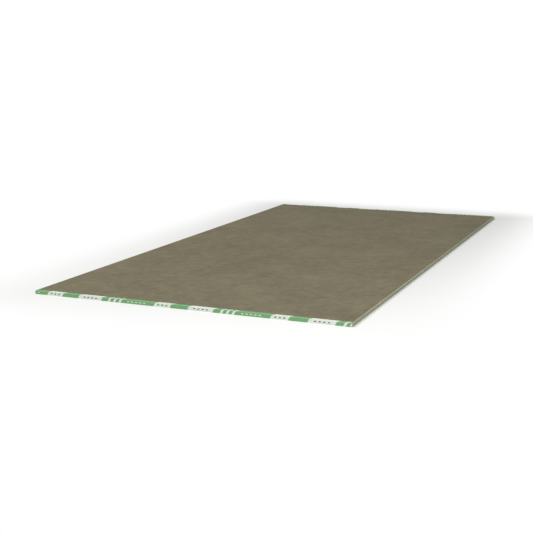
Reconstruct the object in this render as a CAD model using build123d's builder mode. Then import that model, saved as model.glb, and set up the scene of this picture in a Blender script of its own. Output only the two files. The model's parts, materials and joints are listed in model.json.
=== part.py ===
from build123d import *
import os

# A sheet of moisture-resistant gypsum board, paper faced, with the paper tape on its two ends.
# It lies face down: X runs across the sheet, Y along it, and Z up from the face to the back.

# Sheet
sheet_width = 1220.0
sheet_length = 2440.0
sheet_thickness = 12.7

# Tapered long edges. The face curves away towards each long edge to make room for joint compound.
taper_width = 63.5
taper_depth = 1.6

# Rounds that the face paper makes where it is folded round a long edge.
face_fold_radius = 1.8
back_fold_radius = 1.0

# Paper end tape: a lap on the back, folded over the cut end and slit along the face.
tape_thickness = 0.2
tape_lap = 16.0
tape_fold_radius = 0.15
# How far the tape stops short of each long edge, and of the plane of the face.
tape_side_margin = 2.5
tape_slit_margin = 0.4

half_width = sheet_width / 2
half_length = sheet_length / 2
flat_half_width = half_width - taper_width
tape_length = sheet_width - 2 * tape_side_margin


# Section across the sheet, on the plane of X and Z
with BuildSketch(Plane.XZ) as sheet_section:
    with BuildLine():
        face_flat = Line((-flat_half_width, 0), (flat_half_width, 0))
        right_taper = TangentArc(face_flat @ 1, (half_width, taper_depth), tangent=face_flat % 1)
        left_taper = TangentArc(face_flat @ 0, (-half_width, taper_depth), tangent=-(face_flat % 0))
        Polyline(
            right_taper @ 1,
            (half_width, sheet_thickness),
            (-half_width, sheet_thickness),
            left_taper @ 1,
        )
    make_face()
    face_folds = sheet_section.vertices().group_by(Axis.Y)[1]
    fillet(face_folds, radius=face_fold_radius)
    back_folds = sheet_section.vertices().group_by(Axis.Y)[-1]
    fillet(back_folds, radius=back_fold_radius)


# Gypsum board, cut square at both ends
with BuildPart() as gypsum_board:
    extrude(sheet_section.sketch, amount=half_length, both=True)
gypsum_board.part.label = "gypsum_board"


# Tape on the front end. The flap on the cut end is trimmed to the section of the sheet.
with BuildPart() as end_tape_front:
    with BuildSketch(Plane.XZ.offset(half_length)) as flap:
        add(sheet_section.sketch_local)
        with Locations((0, tape_slit_margin)):
            Rectangle(
                tape_length,
                sheet_thickness - tape_slit_margin,
                align=(Align.CENTER, Align.MIN),
                mode=Mode.INTERSECT,
            )
    extrude(amount=tape_thickness)
    with BuildSketch(Plane.XY.offset(sheet_thickness)) as lap:
        with Locations((0, -half_length - tape_thickness)):
            Rectangle(
                tape_length,
                tape_lap + tape_thickness,
                align=(Align.CENTER, Align.MIN),
            )
    extrude(amount=tape_thickness)
    fold = end_tape_front.edges().filter_by(Axis.X).group_by(Axis.Y)[0].sort_by(Axis.Z)[-1]
    fillet(fold, radius=tape_fold_radius)
end_tape_front.part.label = "end_tape_front"


# Tape on the back end, the same the other way round
with BuildPart() as end_tape_back:
    mirror(end_tape_front.part, about=Plane.XZ)
end_tape_back.part.label = "end_tape_back"


os.makedirs("parts", exist_ok=True)
export_step(gypsum_board.part, "parts/gypsum_board.step")
export_step(end_tape_front.part, "parts/end_tape_front.step")
export_step(end_tape_back.part, "parts/end_tape_back.step")
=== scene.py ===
"""Dresses a drywall sheet: gypsum board folded into its paper, with printed paper tape on both cut ends.

The sheet lies face down on a pale floor. X runs across it, Y along it, and Z up from its face to its back.
"""
import json
import logging
import math
from abc import ABC, abstractmethod
from collections.abc import Callable
from dataclasses import dataclass, field
from enum import Enum

import bmesh
import bpy
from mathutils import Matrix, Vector

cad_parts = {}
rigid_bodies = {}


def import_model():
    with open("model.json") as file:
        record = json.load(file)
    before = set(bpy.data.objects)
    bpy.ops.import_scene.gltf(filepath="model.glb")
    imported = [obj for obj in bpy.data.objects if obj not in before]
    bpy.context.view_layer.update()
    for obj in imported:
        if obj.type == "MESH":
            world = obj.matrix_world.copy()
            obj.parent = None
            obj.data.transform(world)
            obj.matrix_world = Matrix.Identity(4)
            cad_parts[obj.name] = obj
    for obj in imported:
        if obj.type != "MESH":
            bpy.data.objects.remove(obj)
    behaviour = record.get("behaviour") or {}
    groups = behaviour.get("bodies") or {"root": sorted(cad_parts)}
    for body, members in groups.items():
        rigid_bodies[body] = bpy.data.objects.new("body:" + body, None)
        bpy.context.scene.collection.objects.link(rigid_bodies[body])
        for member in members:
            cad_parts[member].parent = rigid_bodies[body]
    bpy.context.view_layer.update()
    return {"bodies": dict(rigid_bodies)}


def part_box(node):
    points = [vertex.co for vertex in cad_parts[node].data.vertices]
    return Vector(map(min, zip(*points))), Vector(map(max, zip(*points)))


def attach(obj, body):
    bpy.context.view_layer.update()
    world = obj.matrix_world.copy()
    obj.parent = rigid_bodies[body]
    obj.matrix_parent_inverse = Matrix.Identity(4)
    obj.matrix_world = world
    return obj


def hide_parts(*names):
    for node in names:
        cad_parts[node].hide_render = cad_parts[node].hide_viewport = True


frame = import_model()

LOG = logging.getLogger("drywall_sheet")
MM = 0.001
# Places closer together than this are the same place.
NEAR = 0.01 * MM
# A direction with more than this much of an axis in it runs along that axis.
ALIGNED = 0.9
WHITE = "#FFFFFF"
# Nothing on a sheet moves, so the frame has one body.
(BODY,) = frame["bodies"]


class SheetEnd(Enum):
    """The two cut ends of the sheet, each with the way it faces along Y."""

    FRONT = -1
    BACK = 1


class BoardSlot(Enum):
    """The finishes of the board, each with its material slot."""

    FACE = 0
    LINER = 1
    CORE = 2


class MeshPart(Enum):
    """The kinds of mesh element that can be picked in edit mode."""

    VERT = "verts"
    EDGE = "edges"
    FACE = "faces"


class Ink(Enum):
    """The colours on the end tape, bare paper among them."""

    PAPER = "#D4DACF"
    GREEN = "#629A61"
    GREY = "#55534F"


def linear(hex_colour: str) -> tuple[float, float, float, float]:
    """Turns an sRGB hex colour into the linear colour that sockets take.

    Args:
        hex_colour: The colour, such as "#7B7361".

    Returns:
        Linear red, green and blue, and an alpha of one.
    """
    channels = [int(hex_colour[start:start + 2], 16) / 255 for start in (1, 3, 5)]
    red, green, blue = (c / 12.92 if c <= 0.04045 else ((c + 0.055) / 1.055) ** 2.4 for c in channels)
    return red, green, blue, 1.0


def add_node(
    tree: bpy.types.NodeTree, kind: str, inputs: dict[str | int, object] | None = None, **settings: object
) -> bpy.types.Node:
    """Adds a node, gives it its settings, and then sets or links its inputs.

    Args:
        tree: The node tree that gets the node.
        kind: The name of the node's type.
        inputs: What goes into each socket, by its name or number: a value, an output, or a node, of which
            the first output is meant.
        settings: Properties of the node.

    Returns:
        The new node.
    """
    node = tree.nodes.new(kind)
    for setting, value in settings.items():
        setattr(node, setting, value)
    for key, value in (inputs or {}).items():
        named = (socket for socket in node.inputs if socket.enabled and socket.name == key)
        socket = node.inputs[key] if isinstance(key, int) else next(named)
        if isinstance(value, bpy.types.Node):
            value = next(output for output in value.outputs if output.enabled)
        if isinstance(value, bpy.types.NodeSocket):
            tree.links.new(value, socket)
        else:
            socket.default_value = value
    return node


def seen_background(tree: bpy.types.NodeTree) -> bpy.types.Node:
    """Tells the rays that show a background from those that light the object.

    Args:
        tree: A material's or world's node tree.

    Returns:
        A node that is one for camera, glossy and transmission rays.
    """
    path = add_node(tree, "ShaderNodeLightPath")
    seen = path.outputs["Is Camera Ray"]
    for kind in ("Is Glossy Ray", "Is Transmission Ray"):
        seen = add_node(tree, "ShaderNodeMath", {0: seen, 1: path.outputs[kind]}, operation="MAXIMUM")
    return seen


def same_place(one: float, other: float) -> bool:
    """Tells whether two places along an axis are the same one."""
    return abs(one - other) < NEAR


def start_clean() -> None:
    """Deselects everything, so that the next operator acts on the new piece alone."""
    bpy.ops.object.select_all(action="DESELECT")


def select_only(piece: bpy.types.Object) -> None:
    """Makes a piece the one selected and active object.

    Args:
        piece: The object.
    """
    start_clean()
    piece.select_set(True)
    bpy.context.view_layer.objects.active = piece


def pick(piece: bpy.types.Object, part: MeshPart, wanted: Callable[[Vector, Vector], bool]) -> None:
    """Selects, in edit mode, the elements that a test wants and nothing else.

    Args:
        piece: The object whose mesh is in edit mode.
        part: The kind of element to select.
        wanted: The test, of an element's middle and of its normal or, for an edge, its direction.
    """
    bpy.ops.mesh.select_mode(type=part.name)
    bpy.ops.mesh.select_all(action="DESELECT")
    mesh = bmesh.from_edit_mesh(piece.data)
    mesh.normal_update()
    for element in getattr(mesh, part.value):
        if part is MeshPart.VERT:
            middle, way = element.co, element.normal
        elif part is MeshPart.EDGE:
            start, stop = (vertex.co for vertex in element.verts)
            middle, way = (start + stop) / 2, (stop - start).normalized()
        else:
            middle, way = element.calc_center_median(), element.normal
        element.select_set(wanted(middle, way))
    mesh.select_flush_mode()
    bmesh.update_edit_mesh(piece.data)


def rows_across(piece: bpy.types.Object) -> list[float]:
    """Finds the places across the sheet at which a mesh in edit mode has vertices.

    Args:
        piece: The object whose mesh is in edit mode.

    Returns:
        The places along X, in order.
    """
    mesh = bmesh.from_edit_mesh(piece.data)
    return [step * NEAR for step in sorted({round(vertex.co.x / NEAR) for vertex in mesh.verts})]


def smooth(piece: bpy.types.Object, sharp_angle: float) -> None:
    """Smooths the shading of a piece across edges that are blunter than an angle.

    Args:
        piece: The finished object.
        sharp_angle: The angle in degrees past which an edge stays sharp.
    """
    select_only(piece)
    bpy.ops.object.shade_smooth_by_angle(angle=math.radians(sharp_angle))


@dataclass(frozen=True, kw_only=True)
class Finish(ABC):
    """A finish that makes one material.

    Attributes:
        name: The material's name.
    """

    name: str

    def material(self) -> bpy.types.Material:
        """Makes the material.

        Returns:
            The material, with its nodes wired on Object coordinates.
        """
        material = bpy.data.materials.new(self.name)
        material.use_nodes = True
        tree = material.node_tree
        tree.nodes.clear()
        place = add_node(tree, "ShaderNodeTexCoord").outputs["Object"]
        add_node(tree, "ShaderNodeOutputMaterial", {"Surface": self.wire(tree, place)})
        return material

    @abstractmethod
    def wire(self, tree: bpy.types.NodeTree, place: bpy.types.NodeSocket) -> bpy.types.Node:
        """Adds the finish's nodes to a tree.

        Args:
            tree: The material's node tree.
            place: The Object coordinates, in metres.

        Returns:
            The shader node that goes to the output.
        """


@dataclass(frozen=True)
class ToneLayer:
    """One layer of patches in a paper's tone.

    Attributes:
        size: Width and length of its patches, across and along the sheet.
        detail: How many finer steps its patches have.
        share: How much it counts. The shares of all layers come to one.
    """

    size: tuple[float, float]
    detail: float
    share: float


# The pulp clouds a paper's tone, its fibres clump and grain it, and the paper machine streaks it.
CLOUDS = ToneLayer((240 * MM, 240 * MM), detail=2.0, share=0.3)
CLUMPS = ToneLayer((34 * MM, 34 * MM), detail=3.0, share=0.38)
STREAKS = ToneLayer((9 * MM, 420 * MM), detail=2.0, share=0.12)
GRAIN = ToneLayer((2.4 * MM, 2.4 * MM), detail=2.0, share=0.2)


@dataclass(frozen=True, kw_only=True)
class BoardPaper(Finish):
    """Multi-ply paper of recycled pulp. It is dull and fibrous, softly clouded, and flecked with odd fibres.

    Attributes:
        shade: The darkest tone between the flecks.
        light: The lightest tone between the flecks.
        dark_fleck: Colour of the dark fibres.
        pale_fleck: Colour of the pale fibres.
        fleck_share: How strongly the flecks show, from 0 to 1.
        tone_range: The mixed noise that gives the darkest and the lightest tone.
        fleck: Width and length of a fleck. A real one is half as large, too fine to show in the render.
        fleck_turns: How far the dark and the pale flecks are turned from along the sheet, in degrees.
        fleck_curl: How much a fleck curls.
        fleck_range: The noise at which a fleck starts and at which it is full.
        relief: Height of the grain.
        roughness: Roughness of the smoothest and of the roughest spots.
        specular: How much the paper shines.
    """

    shade: str
    light: str
    dark_fleck: str
    pale_fleck: str
    fleck_share: float
    tone_range: tuple[float, float] = (0.36, 0.64)
    fleck: tuple[float, float] = (2.2 * MM, 6 * MM)
    fleck_turns: tuple[tuple[float, float], tuple[float, float]] = ((40, 132), (-29, 69))
    fleck_curl: float = 0.6
    fleck_range: tuple[float, float] = (0.64, 0.74)
    relief: float = 0.05 * MM
    roughness: tuple[float, float] = (0.86, 0.97)
    specular: float = 0.15

    def wire(self, tree: bpy.types.NodeTree, place: bpy.types.NodeSocket) -> bpy.types.Node:
        """Wires the tone, the flecks, the wear and the grain of the paper.

        Args:
            tree: The material's node tree.
            place: The Object coordinates, in metres.

        Returns:
            The shader of the paper.
        """
        tone: bpy.types.Node | float = 0.0
        for layer in (CLOUDS, CLUMPS, STREAKS, GRAIN):
            across, along = layer.size
            laid = add_node(
                tree, "ShaderNodeMapping", {"Vector": place, "Scale": (across, along, across)},
                vector_type="TEXTURE",
            )
            patches = add_node(
                tree, "ShaderNodeTexNoise", {"Vector": laid, "Scale": 1.0, "Detail": layer.detail}
            )
            tone = add_node(
                tree, "ShaderNodeMath", {0: patches, 1: layer.share, 2: tone}, operation="MULTIPLY_ADD"
            )
        # The last layer also roughens the paper and stands out of it.
        grain = patches
        darkest, lightest = self.tone_range
        spread = add_node(
            tree, "ShaderNodeMapRange", {"Value": tone, "From Min": darkest, "From Max": lightest}
        )
        colour = add_node(
            tree, "ShaderNodeMix", {"Factor": spread, "A": linear(self.shade), "B": linear(self.light)},
            data_type="RGBA",
        )
        colour = self._strew_flecks(tree, place, colour)
        colour = self._wear(tree, place, colour)
        smoothest, roughest = self.roughness
        rough = add_node(
            tree, "ShaderNodeMapRange", {"Value": grain, "To Min": smoothest, "To Max": roughest}
        )
        bump = add_node(tree, "ShaderNodeBump", {"Distance": self.relief, "Height": grain})
        return add_node(
            tree, "ShaderNodeBsdfPrincipled",
            {"Base Color": colour, "Roughness": rough, "Normal": bump, "Specular IOR Level": self.specular},
        )

    def _strew_flecks(
        self, tree: bpy.types.NodeTree, place: bpy.types.NodeSocket, colour: bpy.types.Node
    ) -> bpy.types.Node:
        """Strews dark and pale fibres over the paper, each kind lying two ways.

        Args:
            tree: The material's node tree.
            place: The Object coordinates, in metres.
            colour: The colour so far.

        Returns:
            The node that gives the colour with flecks.
        """
        width, length = self.fleck
        start, full = self.fleck_range
        for fleck_colour, turns in zip((self.dark_fleck, self.pale_fleck), self.fleck_turns):
            for turn in map(math.radians, turns):
                laid = add_node(
                    tree, "ShaderNodeMapping",
                    {"Vector": place, "Rotation": (0, 0, turn), "Scale": (width, length, width)},
                    vector_type="TEXTURE",
                )
                fibres = add_node(
                    tree, "ShaderNodeTexNoise",
                    {"Vector": laid, "Scale": 1.0, "Detail": 1.0, "Distortion": self.fleck_curl},
                )
                cover = add_node(
                    tree, "ShaderNodeMapRange",
                    {"Value": fibres, "From Min": start, "From Max": full, "To Max": self.fleck_share},
                )
                colour = add_node(
                    tree, "ShaderNodeMix", {"Factor": cover, "A": colour, "B": linear(fleck_colour)},
                    data_type="RGBA",
                )
        return colour

    def _wear(
        self, tree: bpy.types.NodeTree, place: bpy.types.NodeSocket, colour: bpy.types.Node
    ) -> bpy.types.Node:
        """Adds the wear of this paper, of which a plain one has none.

        Args:
            tree: The material's node tree.
            place: The Object coordinates, in metres.
            colour: The colour so far.

        Returns:
            The node that gives the colour with wear.
        """
        return colour


@dataclass(frozen=True, kw_only=True)
class LinerPaper(BoardPaper):
    """Grey-brown liner of the back, of unbleached pulp. It looks dull and plain, with faint clouds."""

    name: str = "recycled_liner_paper"
    shade: str = "#67604D"
    light: str = "#7C755F"
    dark_fleck: str = "#544C3D"
    pale_fleck: str = "#A79E8A"
    fleck_share: float = 0.35


@dataclass(frozen=True, kw_only=True)
class FacePaper(BoardPaper):
    """Pale green paper of the face. It looks smooth and even, and is rubbed where it folds onto the back.

    Attributes:
        fold: How far from the middle of the sheet, and how high, the paper folds onto the back.
        rub: Width of the rubbed band on either side of the fold.
        rub_spot: Length of the rubbed spots along it.
        rub_range: The noise at which a rubbed spot starts and at which it is full.
    """

    fold: tuple[float, float]
    name: str = "pale_green_face_paper"
    shade: str = "#939679"
    light: str = "#A6A98D"
    dark_fleck: str = "#787F63"
    pale_fleck: str = "#BAC0A9"
    fleck_share: float = 0.25
    rub: float = 2.6 * MM
    rub_spot: float = 22 * MM
    rub_range: tuple[float, float] = (0.22, 0.5)

    def _wear(
        self, tree: bpy.types.NodeTree, place: bpy.types.NodeSocket, colour: bpy.types.Node
    ) -> bpy.types.Node:
        """Rubs the paper paler, in spots, along the folds of both long edges.

        Args:
            tree: The material's node tree.
            place: The Object coordinates, in metres.
            colour: The colour so far.

        Returns:
            The node that gives the colour with rubbed folds.
        """
        half_width, height = self.fold
        # Both edges count as one, and the place along the sheet doesn't count.
        folded = add_node(tree, "ShaderNodeVectorMath", {0: place}, operation="ABSOLUTE")
        in_section = add_node(tree, "ShaderNodeVectorMath", {0: folded, 1: (1, 0, 1)}, operation="MULTIPLY")
        distance = add_node(
            tree, "ShaderNodeVectorMath", {0: in_section, 1: (half_width, 0, height)}, operation="DISTANCE"
        )
        close = add_node(
            tree, "ShaderNodeMapRange",
            {"Value": distance, "From Max": self.rub, "To Min": 1.0, "To Max": 0.0},
        )
        spots = add_node(
            tree, "ShaderNodeTexNoise", {"Vector": place, "Scale": 1 / self.rub_spot, "Detail": 4.0}
        )
        touched = add_node(tree, "ShaderNodeMath", {0: close, 1: spots}, operation="MULTIPLY")
        start, full = self.rub_range
        rubbed = add_node(
            tree, "ShaderNodeMapRange", {"Value": touched, "From Min": start, "From Max": full}
        )
        return add_node(
            tree, "ShaderNodeMix", {"Factor": rubbed, "A": colour, "B": linear(self.pale_fleck)},
            data_type="RGBA",
        )


@dataclass(frozen=True, kw_only=True)
class GypsumCore(Finish):
    """Set gypsum, sawn square. It is chalky, off-white and full of foam pores.

    Attributes:
        shade: Tone of the damp spots, and the painted shade in the pores.
        light: Tone of the fresh cut.
        pore: Spacing of the pores. Real ones are half as far apart, too fine to show.
        spot: Size of the damp spots.
        tone_range: The mixed noise that gives the darkest and the lightest tone.
        relief: Depth of the pores.
        roughness: Roughness of the cut.
        specular: How much the cut shines.
    """

    name: str = "sawn_gypsum_core"
    shade: str = "#C9C5B8"
    light: str = "#E3E0D6"
    pore: float = 1.6 * MM
    spot: float = 13 * MM
    tone_range: tuple[float, float] = (0.05, 0.3)
    relief: float = 0.2 * MM
    roughness: float = 0.95
    specular: float = 0.1

    def wire(self, tree: bpy.types.NodeTree, place: bpy.types.NodeSocket) -> bpy.types.Node:
        """Wires the pores, darkened with painted shade, and the damp spots of the core.

        Args:
            tree: The material's node tree.
            place: The Object coordinates, in metres.

        Returns:
            The shader of the core.
        """
        pores = add_node(tree, "ShaderNodeTexVoronoi", {"Vector": place, "Scale": 1 / self.pore})
        spots = add_node(tree, "ShaderNodeTexNoise", {"Vector": place, "Scale": 1 / self.spot, "Detail": 4.0})
        # The pores are darkened with painted shade in their hollows, and the damp spots darken at random.
        tone = add_node(tree, "ShaderNodeMath", {0: pores, 1: spots}, operation="MULTIPLY")
        darkest, lightest = self.tone_range
        spread = add_node(
            tree, "ShaderNodeMapRange", {"Value": tone, "From Min": darkest, "From Max": lightest}
        )
        colour = add_node(
            tree, "ShaderNodeMix", {"Factor": spread, "A": linear(self.shade), "B": linear(self.light)},
            data_type="RGBA",
        )
        bump = add_node(tree, "ShaderNodeBump", {"Distance": self.relief, "Height": pores})
        return add_node(
            tree, "ShaderNodeBsdfPrincipled",
            {"Base Color": colour, "Roughness": self.roughness, "Normal": bump,
             "Specular IOR Level": self.specular},
        )


# A mark of this width runs off the tape at the edge of the lap and at the slit.
FULL_BLEED = (-20 * MM, 15 * MM)


@dataclass(frozen=True)
class PrintRow:
    """A row of like marks in the tape's print. Each is a bar or panel whose two ends lean like the rest.

    Attributes:
        ink: The colour of the marks.
        middle: Where the middle of the row is along one repeat of the print.
        width: How long a mark is along the tape.
        count: How many marks there are.
        pitch: From one mark to the next. A lone mark only has to fit in it.
        across: Where a mark starts and stops across the tape. The fold is zero, and the lap is negative.
    """

    ink: Ink
    middle: float
    width: float
    count: int = 1
    pitch: float = 100 * MM
    across: tuple[float, float] = FULL_BLEED


# One repeat of the print, in the order in which it is printed.
PRINT = (
    PrintRow(Ink.PAPER, middle=70 * MM, width=96 * MM),
    PrintRow(Ink.GREY, middle=70 * MM, width=8 * MM, count=4, pitch=16 * MM, across=(4 * MM, 8 * MM)),
    PrintRow(Ink.PAPER, middle=172 * MM, width=9 * MM, count=3, pitch=22 * MM),
    PrintRow(Ink.PAPER, middle=258 * MM, width=9 * MM, count=5, pitch=16 * MM, across=(4.5 * MM, 7.5 * MM)),
    PrintRow(Ink.PAPER, middle=362 * MM, width=64 * MM),
    PrintRow(Ink.GREEN, middle=362 * MM, width=8 * MM, count=3, pitch=16 * MM, across=(3 * MM, 9 * MM)),
)


@dataclass(frozen=True, kw_only=True)
class TapePaper(Finish):
    """Bleached paper printed by rubber plates. The ink is thin and uneven, and cracks pale along the fold.

    Attributes:
        half_length: From the middle of the sheet to its cut ends.
        thickness: Thickness of the sheet, which the fold is at.
        repeat: Length of one repeat of the print along the tape.
        lean: How far the print leans along the tape for each step across it.
        back_shift: How far the print on the back end is shifted along the tape.
        bleed: Softness of the edges of the print.
        crack: Width of the cracked ink along the fold.
        fibre: Width of the fibre bundles in the paper.
        fibre_tone: How bright the darkest and the lightest fibres are beside the paper's own colour.
        thin_range: The noise at which the ink starts to thin and at which it is thinnest.
        thinnest: How much paper shows through the thinnest ink, from 0 to 1.
        relief: Height of the fibre bundles.
        roughness: Roughness of the paper.
        specular: How much the paper shines.
    """

    half_length: float
    thickness: float
    name: str = "printed_tape_paper"
    repeat: float = 440 * MM
    lean: float = 0.55
    back_shift: float = 175 * MM
    bleed: float = 0.25 * MM
    crack: float = 0.7 * MM
    fibre: float = 1.8 * MM
    fibre_tone: tuple[float, float] = (0.82, 1.18)
    thin_range: tuple[float, float] = (0.35, 0.7)
    thinnest: float = 0.16
    relief: float = 0.015 * MM
    roughness: float = 0.7
    specular: float = 0.25

    def wire(self, tree: bpy.types.NodeTree, place: bpy.types.NodeSocket) -> bpy.types.Node:
        """Wires the print, row by row, and the cracked fold.

        Args:
            tree: The material's node tree.
            place: The Object coordinates, in metres.

        Returns:
            The shader of the tape.
        """
        along, across = self._unroll(tree, place)
        fibres = add_node(
            tree, "ShaderNodeTexNoise", {"Vector": place, "Scale": 1 / self.fibre, "Detail": 3.0}
        )
        inks = self._mix_inks(tree, fibres)
        colour = inks[Ink.GREEN]
        for row in PRINT:
            colour = self._print(tree, row, inks[row.ink], along, across, colour)
        off_fold = add_node(tree, "ShaderNodeMath", {0: across}, operation="ABSOLUTE")
        bent = add_node(
            tree, "ShaderNodeMapRange",
            {"Value": off_fold, "From Max": self.crack, "To Min": 1.0, "To Max": 0.0},
        )
        cracked = add_node(tree, "ShaderNodeMath", {0: bent, 1: fibres}, operation="MULTIPLY")
        colour = add_node(
            tree, "ShaderNodeMix", {"Factor": cracked, "A": colour, "B": inks[Ink.PAPER]}, data_type="RGBA"
        )
        bump = add_node(tree, "ShaderNodeBump", {"Distance": self.relief, "Height": fibres})
        return add_node(
            tree, "ShaderNodeBsdfPrincipled",
            {"Base Color": colour, "Roughness": self.roughness, "Normal": bump,
             "Specular IOR Level": self.specular},
        )

    def _unroll(
        self, tree: bpy.types.NodeTree, place: bpy.types.NodeSocket
    ) -> tuple[bpy.types.Node, bpy.types.Node]:
        """Works out where a point lies on the tape when it is flat.

        Args:
            tree: The material's node tree.
            place: The Object coordinates, in metres.

        Returns:
            Nodes that give the place along one repeat of the print, and across the tape from its fold.
        """
        x, y, z = add_node(tree, "ShaderNodeSeparateXYZ", {"Vector": place}).outputs
        off_middle = add_node(tree, "ShaderNodeMath", {0: y}, operation="ABSOLUTE")
        inward = add_node(tree, "ShaderNodeMath", {0: self.half_length, 1: off_middle}, operation="SUBTRACT")
        drop = add_node(tree, "ShaderNodeMath", {0: self.thickness, 1: z}, operation="SUBTRACT")
        across = add_node(tree, "ShaderNodeMath", {0: drop, 1: inward}, operation="SUBTRACT")
        on_back = add_node(tree, "ShaderNodeMath", {0: y, 1: 0.0}, operation="GREATER_THAN")
        shifted = add_node(
            tree, "ShaderNodeMath", {0: on_back, 1: self.back_shift, 2: x}, operation="MULTIPLY_ADD"
        )
        leant = add_node(
            tree, "ShaderNodeMath", {0: across, 1: self.lean, 2: shifted}, operation="MULTIPLY_ADD"
        )
        along = add_node(tree, "ShaderNodeMath", {0: leant, 1: self.repeat, 2: 0.0}, operation="WRAP")
        return along, across

    def _mix_inks(self, tree: bpy.types.NodeTree, fibres: bpy.types.Node) -> dict[Ink, bpy.types.Node]:
        """Mixes the tape's colours: uneven paper, and inks that it shows through.

        Args:
            tree: The material's node tree.
            fibres: The noise of the fibre bundles.

        Returns:
            The node that gives each colour.
        """
        darkest, lightest = self.fibre_tone
        tone = add_node(
            tree, "ShaderNodeMapRange", {"Value": fibres, "To Min": darkest, "To Max": lightest}
        )
        paper = add_node(
            tree, "ShaderNodeHueSaturation", {"Color": linear(Ink.PAPER.value), "Value": tone}
        )
        start, full = self.thin_range
        thin = add_node(
            tree, "ShaderNodeMapRange",
            {"Value": fibres, "From Min": start, "From Max": full, "To Max": self.thinnest},
        )
        inks = {Ink.PAPER: paper}
        for ink in (Ink.GREEN, Ink.GREY):
            inks[ink] = add_node(
                tree, "ShaderNodeMix", {"Factor": thin, "A": linear(ink.value), "B": paper}, data_type="RGBA"
            )
        return inks

    def _print(
        self,
        tree: bpy.types.NodeTree,
        row: PrintRow,
        ink: bpy.types.Node,
        along: bpy.types.Node,
        across: bpy.types.Node,
        colour: bpy.types.Node,
    ) -> bpy.types.Node:
        """Prints one row of marks over the colour so far.

        Args:
            tree: The material's node tree.
            row: The row.
            ink: The colour of its ink on the paper.
            along: The place along one repeat.
            across: The place across the tape, from the fold.
            colour: The colour so far.

        Returns:
            The node that gives the colour with the row on it.
        """
        row_reach = row.count * row.pitch / 2
        from_start = add_node(
            tree, "ShaderNodeMath", {0: along, 1: row.middle - row_reach}, operation="SUBTRACT"
        )
        # This is zero in the middle of a gap and half a pitch in the middle of a mark.
        from_gap = add_node(tree, "ShaderNodeMath", {0: from_start, 1: row.pitch / 2}, operation="PINGPONG")
        half_gap = (row.pitch - row.width) / 2
        cover = add_node(
            tree, "ShaderNodeMapRange",
            {"Value": from_gap, "From Min": half_gap - self.bleed, "From Max": half_gap + self.bleed},
        )
        start, stop = row.across
        bounds = ((along, row.middle, row_reach), (across, (start + stop) / 2, (stop - start) / 2))
        for position, middle, reach in bounds:
            distance = add_node(tree, "ShaderNodeMath", {0: position, 1: middle}, operation="SUBTRACT")
            distance = add_node(tree, "ShaderNodeMath", {0: distance}, operation="ABSOLUTE")
            inside = add_node(
                tree, "ShaderNodeMapRange",
                {"Value": distance, "From Min": reach - self.bleed, "From Max": reach + self.bleed,
                 "To Min": 1.0, "To Max": 0.0},
            )
            cover = add_node(tree, "ShaderNodeMath", {0: cover, 1: inside}, operation="MULTIPLY")
        return add_node(
            tree, "ShaderNodeMix", {"Factor": cover, "A": colour, "B": ink}, data_type="RGBA"
        )


@dataclass(frozen=True, kw_only=True)
class FloorPaint(Finish):
    """Matt white paint of a studio floor. Away from the sheet it fades into the white background.

    Attributes:
        sheet: Half the sheet's width and length.
        colour: Colour of the floor.
        fade: How far from the edges of the sheet the floor has become the background.
    """

    sheet: tuple[float, float]
    name: str = "matt_white_floor_paint"
    colour: str = "#ECECEA"
    fade: float = 0.35

    def wire(self, tree: bpy.types.NodeTree, place: bpy.types.NodeSocket) -> bpy.types.Node:
        """Wires a matt floor that turns white with distance.

        Args:
            tree: The material's node tree.
            place: The Object coordinates, in metres.

        Returns:
            The shader of the floor.
        """
        folded = add_node(tree, "ShaderNodeVectorMath", {0: place}, operation="ABSOLUTE")
        past_edges = add_node(
            tree, "ShaderNodeVectorMath", {0: folded, 1: (*self.sheet, 0)}, operation="SUBTRACT"
        )
        outside = add_node(tree, "ShaderNodeVectorMath", {0: past_edges, 1: (0, 0, 0)}, operation="MAXIMUM")
        distance = add_node(tree, "ShaderNodeVectorMath", {0: outside}, operation="LENGTH")
        far = add_node(
            tree, "ShaderNodeMapRange", {"Value": distance, "From Max": self.fade},
            interpolation_type="SMOOTHSTEP",
        )
        seen = add_node(tree, "ShaderNodeMath", {0: far, 1: seen_background(tree)}, operation="MULTIPLY")
        matt = add_node(
            tree, "ShaderNodeBsdfPrincipled",
            {"Base Color": linear(self.colour), "Roughness": 1.0, "Specular IOR Level": 0.0},
        )
        white = add_node(tree, "ShaderNodeEmission", {"Color": linear(WHITE), "Strength": 1.0})
        return add_node(tree, "ShaderNodeMixShader", {0: seen, 1: matt, 2: white})


@dataclass(frozen=True, kw_only=True)
class SheetSection:
    """The board's section, which the board and both tapes follow.

    Attributes:
        half_width: From the middle of the sheet to a long edge.
        thickness: From the face to the back.
        taper_width: How far in from a long edge the face starts to curve away.
        taper_depth: How far the face has curved away at a long edge.
    """

    half_width: float
    thickness: float
    taper_width: float = 63.5 * MM
    taper_depth: float = 1.6 * MM

    @property
    def flat_half_width(self) -> float:
        """From the middle of the sheet to the start of a taper."""
        return self.half_width - self.taper_width

    def face_rise(self, x: float) -> float:
        """Gives how far the tapered face stands off the floor.

        Args:
            x: A place across the sheet.

        Returns:
            The height of the face there, along the arc of the taper.
        """
        run = max(abs(x) - self.flat_half_width, 0.0)
        radius = (self.taper_width ** 2 + self.taper_depth ** 2) / (2 * self.taper_depth)
        return radius - math.sqrt(radius ** 2 - run ** 2)


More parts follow.
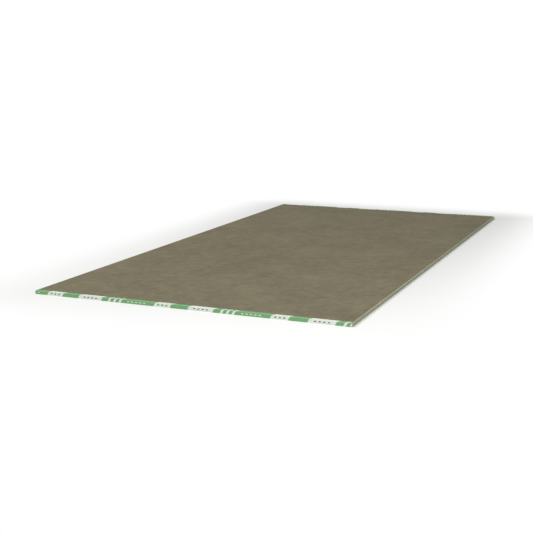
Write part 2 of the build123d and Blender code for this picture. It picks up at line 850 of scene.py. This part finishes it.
@dataclass
class GypsumBoard:
    """A gypsum core in face paper that folds round both long edges and under the liner on the back.

    Attributes:
        section: The board's section.
        length: From cut end to cut end.
        taper_steps: Facets across each taper.
        length_steps: Spans along the sheet, between which the edge of the liner wanders.
        face_fold_radius: Round of the paper at the face side of a long edge.
        back_fold_radius: Round of the paper at the back of a long edge.
        fold_segments: Facets round each fold.
        rim_width: How much of the folded face paper shows on the back, beside the liner.
        liner_thickness: How far the liner stands above the rim.
        liner_slope: Width over which the liner drops to the rim.
        liner_wander: How far the liner's edge strays.
        liner_seed: Seed of its straying.
        paper_thickness: Thickness of the paper that shows round the core on a cut end.
        core_recess: How far the sawn core lies behind the edge of the paper.
        sharp_angle: Angle in degrees past which an edge stays sharp.
        piece: The board's object, once it is built.
    """

    section: SheetSection
    length: float
    taper_steps: int = 8
    length_steps: int = 48
    face_fold_radius: float = 1.8 * MM
    back_fold_radius: float = 1.0 * MM
    fold_segments: int = 6
    rim_width: float = 3.5 * MM
    liner_thickness: float = 0.25 * MM
    liner_slope: float = 0.4 * MM
    liner_wander: float = 0.6 * MM
    liner_seed: int = 11
    paper_thickness: float = 0.3 * MM
    core_recess: float = 0.15 * MM
    sharp_angle: float = 35
    piece: bpy.types.Object = field(init=False)

    @property
    def liner_half_width(self) -> float:
        """From the middle of the sheet to the edge of the liner."""
        return self.section.half_width - self.rim_width

    @property
    def rim_height(self) -> float:
        """Height of the folded face paper on the back."""
        return self.section.thickness - self.liner_thickness

    def build(self) -> bpy.types.Object:
        """Models and dresses the board.

        Returns:
            The board's object.
        """
        start_clean()
        size = (2 * self.section.half_width, self.length, self.section.thickness)
        bpy.ops.mesh.primitive_cube_add(size=1, location=(0, 0, self.section.thickness / 2), scale=size)
        bpy.ops.object.transform_apply(location=True, rotation=True, scale=True)
        self.piece = bpy.context.object
        self.piece.name = self.piece.data.name = "gypsum_board_in_paper"
        self._add_finishes()
        bpy.ops.object.mode_set(mode="EDIT")
        self._score()
        self._press_tapers()
        self._lower_rims()
        self._fold_edges()
        self._dress_back()
        self._dress_ends()
        bpy.ops.object.mode_set(mode="OBJECT")
        smooth(self.piece, self.sharp_angle)
        return self.piece

    def _add_finishes(self) -> None:
        """Gives the board its material slots. The first dresses all faces until the others are painted on."""
        finishes = {
            BoardSlot.FACE: FacePaper(fold=(self.section.half_width, self.rim_height)),
            BoardSlot.LINER: LinerPaper(),
            BoardSlot.CORE: GypsumCore(),
        }
        for slot in BoardSlot:
            self.piece.data.materials.append(finishes[slot].material())

    def _paint(self, slot: BoardSlot) -> None:
        """Gives the selected faces the finish of a slot."""
        self.piece.active_material_index = slot.value
        bpy.ops.object.material_slot_assign()

    def _score(self) -> None:
        """Cuts the board lengthwise at its tapers and liner edges, and across into even spans."""
        places = [
            self.section.flat_half_width + self.section.taper_width * step / self.taper_steps
            for step in range(self.taper_steps)
        ]
        places += [self.liner_half_width, self.liner_half_width + self.liner_slope]
        for place in places:
            for side in (-1, 1):
                bpy.ops.mesh.select_all(action="SELECT")
                bpy.ops.mesh.bisect(plane_co=(side * place, 0, 0), plane_no=(1, 0, 0), threshold=NEAR)
        pick(self.piece, MeshPart.EDGE, lambda _, way: abs(way.y) > ALIGNED)
        bpy.ops.mesh.subdivide(number_cuts=self.length_steps - 1)

    def _press_tapers(self) -> None:
        """Raises the face along each taper to its arc."""
        for x in rows_across(self.piece):
            rise = self.section.face_rise(x)
            if rise > 0:
                pick(
                    self.piece, MeshPart.VERT,
                    lambda place, _: same_place(place.x, x) and same_place(place.z, 0),
                )
                bpy.ops.transform.translate(value=(0, 0, rise))

    def _lower_rims(self) -> None:
        """Sets the rims of folded face paper below the liner, and lets the liner's edge stray a little."""
        back, edge = self.section.thickness, self.liner_half_width
        pick(
            self.piece, MeshPart.VERT,
            lambda place, _: same_place(place.z, back) and abs(place.x) > edge + NEAR,
        )
        bpy.ops.transform.translate(value=(0, 0, -self.liner_thickness))
        inner = self.length / 2 - NEAR
        pick(
            self.piece, MeshPart.VERT,
            lambda place, _: same_place(place.z, back)
            and same_place(abs(place.x), edge)
            and abs(place.y) < inner,
        )
        bpy.ops.transform.vertex_random(offset=self.liner_wander, seed=self.liner_seed)
        bpy.ops.transform.resize(value=(1, 1, 0), center_override=(0, 0, back))

    def _fold_edges(self) -> None:
        """Rounds the long edges where the face paper folds."""
        folds = ((self.section.taper_depth, self.face_fold_radius), (self.rim_height, self.back_fold_radius))
        for height, radius in folds:
            pick(
                self.piece, MeshPart.EDGE,
                lambda middle, way: abs(way.y) > ALIGNED
                and same_place(abs(middle.x), self.section.half_width)
                and same_place(middle.z, height),
            )
            bpy.ops.mesh.bevel(offset=radius, segments=self.fold_segments, profile=0.5, affect="EDGES")

    def _dress_back(self) -> None:
        """Lays the liner on the back, on all faces that stand above the rims."""
        pick(self.piece, MeshPart.FACE, lambda middle, _: middle.z > self.rim_height + NEAR)
        self._paint(BoardSlot.LINER)

    def _dress_ends(self) -> None:
        """Shows the core on both cut ends, with the edge of the paper round it."""
        for end in SheetEnd:
            pick(self.piece, MeshPart.FACE, lambda _, way: way.y * end.value > ALIGNED)
            bpy.ops.mesh.inset(thickness=self.paper_thickness, depth=-self.core_recess)
            self._paint(BoardSlot.CORE)


@dataclass
class EndTape:
    """Printed paper tape: a lap on the back, folded over the cut end and slit along the face.

    Attributes:
        section: The board's section, which the lower edge follows.
        half_length: From the middle of the sheet to its cut ends.
        length: How long the tape is, across the sheet.
        lap: How far the tape reaches in from the cut end.
        thickness: Thickness of the paper.
        slit: How far the lower edge stays off the plane of the face.
        fold_radius: Round of the fold on its outside.
        fold_segments: Facets round the fold.
        map_parts: Parts along the tape, into which seams cut its flat map.
        steps: Spans along each part.
        rows: Spans across the lap and across the end.
        edge_wander: How far the edge of the lap strays.
        edge_seed: Seed of its straying.
        wrinkle: Spacing of the wrinkles.
        wrinkle_depth: Depth of the wrinkles.
        sharp_angle: Angle in degrees past which an edge stays sharp.
        piece: The object of the front end's tape, once it is built.
    """

    section: SheetSection
    half_length: float
    length: float
    lap: float
    thickness: float
    slit: float
    fold_radius: float = 0.35 * MM
    fold_segments: int = 4
    map_parts: int = 9
    steps: int = 18
    rows: int = 4
    edge_wander: float = 0.25 * MM
    edge_seed: int = 5
    wrinkle: float = 22 * MM
    wrinkle_depth: float = 0.1 * MM
    sharp_angle: float = 40
    piece: bpy.types.Object = field(init=False)

    @property
    def top(self) -> float:
        """Height of the outside of the lap."""
        return self.section.thickness + self.thickness

    @property
    def front(self) -> float:
        """Place along Y of the outside of the flap."""
        return -self.half_length - self.thickness

    def build(self) -> bpy.types.Object:
        """Models and dresses the tape of the front end.

        Returns:
            The tape's object.
        """
        start_clean()
        depth = self.lap + self.thickness
        bpy.ops.mesh.primitive_plane_add(size=1, location=(0, self.front + depth / 2, self.top))
        bpy.ops.transform.resize(value=(self.length, depth, 1))
        bpy.ops.object.transform_apply(location=True, rotation=True, scale=True)
        self.piece = bpy.context.object
        self.piece.name = self.piece.data.name = "printed_end_tape_front"
        bpy.ops.object.mode_set(mode="EDIT")
        self._fold()
        self._divide()
        self._trim()
        self._fray()
        bpy.ops.object.mode_set(mode="OBJECT")
        self._thicken()
        self._wrinkle()
        self._mark_seams()
        smooth(self.piece, self.sharp_angle)
        self._dress()
        return self.piece

    def turned_copy(self) -> bpy.types.Object:
        """Copies the tape, with a mesh of its own, and turns it to the back end.

        Returns:
            The object of the back end's tape.
        """
        select_only(self.piece)
        bpy.ops.object.duplicate(linked=False)
        copy = bpy.context.object
        copy.name = copy.data.name = "printed_end_tape_back"
        bpy.ops.transform.rotate(value=math.pi, orient_axis="Z", center_override=(0, 0, 0))
        bpy.ops.object.transform_apply(location=True, rotation=True, scale=True)
        return copy

    def _fold(self) -> None:
        """Extrudes the flap down the cut end and rounds the fold."""
        pick(self.piece, MeshPart.EDGE, lambda middle, _: same_place(middle.y, self.front))
        drop = self.top - self.slit
        bpy.ops.mesh.extrude_edges_move(TRANSFORM_OT_translate={"value": (0, 0, -drop)})
        pick(
            self.piece, MeshPart.EDGE,
            lambda middle, _: same_place(middle.y, self.front) and same_place(middle.z, self.top),
        )
        bpy.ops.mesh.bevel(offset=self.fold_radius, segments=self.fold_segments, profile=0.5, affect="EDGES")

    def _divide(self) -> None:
        """Divides the tape along and across, so that it can stray and wrinkle."""
        # One subdivision makes at most a hundred cuts, so the parts come first and their spans second.
        for spans in (self.map_parts, self.steps):
            pick(self.piece, MeshPart.EDGE, lambda _, way: abs(way.x) > ALIGNED)
            bpy.ops.mesh.subdivide(number_cuts=spans - 1)
        clear = self.half_length - self.fold_radius
        pick(self.piece, MeshPart.EDGE, lambda middle, way: abs(way.y) > ALIGNED and abs(middle.y) < clear)
        bpy.ops.mesh.subdivide(number_cuts=self.rows - 1)
        below = self.top - self.fold_radius
        pick(self.piece, MeshPart.EDGE, lambda middle, way: abs(way.z) > ALIGNED and middle.z < below)
        bpy.ops.mesh.subdivide(number_cuts=self.rows - 1)

    def _trim(self) -> None:
        """Trims the lower edge to the tapers."""
        for x in rows_across(self.piece):
            rise = self.section.face_rise(x) - self.slit
            if rise > 0:
                pick(
                    self.piece, MeshPart.VERT,
                    lambda place, _: same_place(place.x, x) and same_place(place.z, self.slit),
                )
                bpy.ops.transform.translate(value=(0, 0, rise))

    def _fray(self) -> None:
        """Lets the edge of the lap stray a little."""
        inner, reach = self.lap - self.half_length, self.length / 2 - NEAR
        pick(
            self.piece, MeshPart.VERT,
            lambda place, _: same_place(place.y, inner) and abs(place.x) < reach,
        )
        bpy.ops.transform.translate(value=(0, -self.edge_wander, 0))
        bpy.ops.transform.vertex_random(offset=self.edge_wander, seed=self.edge_seed)
        bpy.ops.transform.resize(value=(1, 1, 0), center_override=(0, 0, self.top))

    def _thicken(self) -> None:
        """Gives the paper its thickness, inwards."""
        solid = self.piece.modifiers.new("paper", "SOLIDIFY")
        solid.thickness = self.thickness
        solid.offset = -1
        solid.use_even_offset = True
        bpy.ops.object.modifier_apply(modifier=solid.name)

    def _wrinkle(self) -> None:
        """Wrinkles the outside of the paper, into its thickness."""
        outside = self.piece.vertex_groups.new(name="outside")
        level, front = self.top - self.thickness / 2, self.front + self.thickness / 2
        vertices = self.piece.data.vertices
        outside.add([v.index for v in vertices if v.co.z > level or v.co.y < front], 1.0, "REPLACE")
        creases = bpy.data.textures.new("tape_wrinkles", "CLOUDS")
        creases.noise_scale = self.wrinkle
        press = self.piece.modifiers.new("wrinkles", "DISPLACE")
        press.texture = creases
        press.texture_coords = "LOCAL"
        press.vertex_group = outside.name
        press.mid_level = 1.0
        press.strength = self.wrinkle_depth
        bpy.ops.object.modifier_apply(modifier=press.name)
        self.piece.vertex_groups.clear()

    def _mark_seams(self) -> None:
        """Marks seams between the parts of the tape's flat map, so that the map keeps the print sharp."""
        part = self.length / self.map_parts
        cuts = [number * part - self.length / 2 for number in range(1, self.map_parts)]
        # The edge of the lap has strayed along X too, hence the slack.
        slack = 2 * self.edge_wander
        bpy.ops.object.mode_set(mode="EDIT")
        pick(self.piece, MeshPart.EDGE, lambda middle, _: any(abs(middle.x - cut) < slack for cut in cuts))
        bpy.ops.mesh.mark_seam()
        bpy.ops.object.mode_set(mode="OBJECT")

    def _dress(self) -> None:
        """Gives the tape its print."""
        finish = TapePaper(half_length=self.half_length, thickness=self.section.thickness)
        self.piece.data.materials.append(finish.material())


@dataclass(frozen=True)
class Softbox:
    """A square studio lamp that faces the middle of the sheet.

    Attributes:
        name: The lamp's name.
        place: Where it hangs.
        size: Its side.
        power: Its power in watts.
    """

    name: str
    place: tuple[float, float, float]
    size: float
    power: float

    def hang(self) -> None:
        """Hangs the lamp and turns it to the sheet."""
        start_clean()
        bpy.ops.object.light_add(type="AREA", location=self.place)
        lamp = bpy.context.object
        lamp.name = lamp.data.name = self.name
        lamp.data.size = self.size
        lamp.data.energy = self.power
        lamp.rotation_euler = (-Vector(self.place)).to_track_quat("-Z", "Y").to_euler()


@dataclass
class Studio:
    """A pale floor, soft light and the camera at the photograph's viewing angle.

    Attributes:
        sheet: Half the sheet's width and length.
        camera_place: Where the camera stands, from the middle of the sheet.
        azimuth: How far the camera's view is turned from along the sheet, in degrees.
        elevation: How far the camera looks down, in degrees.
        lens: Focal length in millimetres on a 36 mm sensor.
        ambient: Strength of the white surround as it lights the scene.
        key: The lamp above the front left.
        fill: The lower lamp at the front right.
        floor_size: Side of the floor.
    """

    sheet: tuple[float, float]
    camera_place: tuple[float, float, float] = (1.587, -4.245, 0.85)
    azimuth: float = 22.87
    elevation: float = 11.61
    lens: float = 68.83
    ambient: float = 0.5
    key: Softbox = Softbox("key_softbox", (-4.4, -3.6, 6.8), size=4.5, power=410.0)
    fill: Softbox = Softbox("fill_softbox", (1.2, -2.2, 1.6), size=1.2, power=17.0)
    floor_size: float = 60.0

    def build(self) -> None:
        """Sets up the floor, the surround, the lamps and the camera."""
        self._lay_floor()
        self._light_surround()
        for lamp in (self.key, self.fill):
            lamp.hang()
        self._stand_camera()
        bpy.context.scene.view_settings.view_transform = "Standard"

    def _lay_floor(self) -> None:
        """Lays the floor under the sheet."""
        start_clean()
        bpy.ops.mesh.primitive_plane_add(size=self.floor_size, location=(0, 0, -NEAR))
        bpy.ops.object.transform_apply(location=True, rotation=True, scale=True)
        floor = bpy.context.object
        floor.name = floor.data.name = "pale_floor"
        floor.data.materials.append(FloorPaint(sheet=self.sheet).material())

    def _light_surround(self) -> None:
        """Lights the scene from all round, and shows white behind it."""
        world = bpy.data.worlds.new("white_surround")
        world.use_nodes = True
        tree = world.node_tree
        tree.nodes.clear()
        glow = add_node(tree, "ShaderNodeBackground", {"Color": linear(WHITE), "Strength": self.ambient})
        white = add_node(tree, "ShaderNodeBackground", {"Color": linear(WHITE), "Strength": 1.0})
        mixed = add_node(tree, "ShaderNodeMixShader", {0: seen_background(tree), 1: glow, 2: white})
        add_node(tree, "ShaderNodeOutputWorld", {"Surface": mixed})
        bpy.context.scene.world = world

    def _stand_camera(self) -> None:
        """Stands the camera where the photograph was taken from."""
        turn, tilt = math.radians(self.azimuth), math.radians(self.elevation)
        ahead = Vector((-math.sin(turn) * math.cos(tilt), math.cos(turn) * math.cos(tilt), -math.sin(tilt)))
        start_clean()
        bpy.ops.object.camera_add(location=self.camera_place)
        camera = bpy.context.object
        camera.name = camera.data.name = "photo_camera"
        camera.rotation_euler = ahead.to_track_quat("-Z", "Y").to_euler()
        camera.data.lens = self.lens
        bpy.context.scene.camera = camera


def hand_over(piece: bpy.types.Object, node: str) -> None:
    """Puts a finished piece in the place of a node, on the sheet's one body, and reports it.

    Args:
        piece: The finished piece.
        node: The node that it stands for.
    """
    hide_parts(node)
    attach(piece, BODY)
    LOG.info("%s: %d faces, in place of %s", piece.name, len(piece.data.polygons), node)


def main() -> None:
    """Builds the board, its two tapes and the studio, in that order."""
    logging.basicConfig(level=logging.INFO, format="%(name)s: %(message)s")
    board_low, board_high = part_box("gypsum_board")
    tape_low, tape_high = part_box("end_tape_front")
    section = SheetSection(half_width=board_high.x, thickness=board_high.z)

    board = GypsumBoard(section, length=board_high.y - board_low.y)
    hand_over(board.build(), "gypsum_board")

    tape = EndTape(
        section,
        half_length=board_high.y,
        length=tape_high.x - tape_low.x,
        lap=tape_high.y - board_low.y,
        thickness=board_low.y - tape_low.y,
        slit=tape_low.z,
    )
    front_tape, back_tape = tape.build(), tape.turned_copy()
    hand_over(front_tape, "end_tape_front")
    hand_over(back_tape, "end_tape_back")

    Studio(sheet=(board_high.x, board_high.y)).build()


if __name__ == "__main__":
    main()
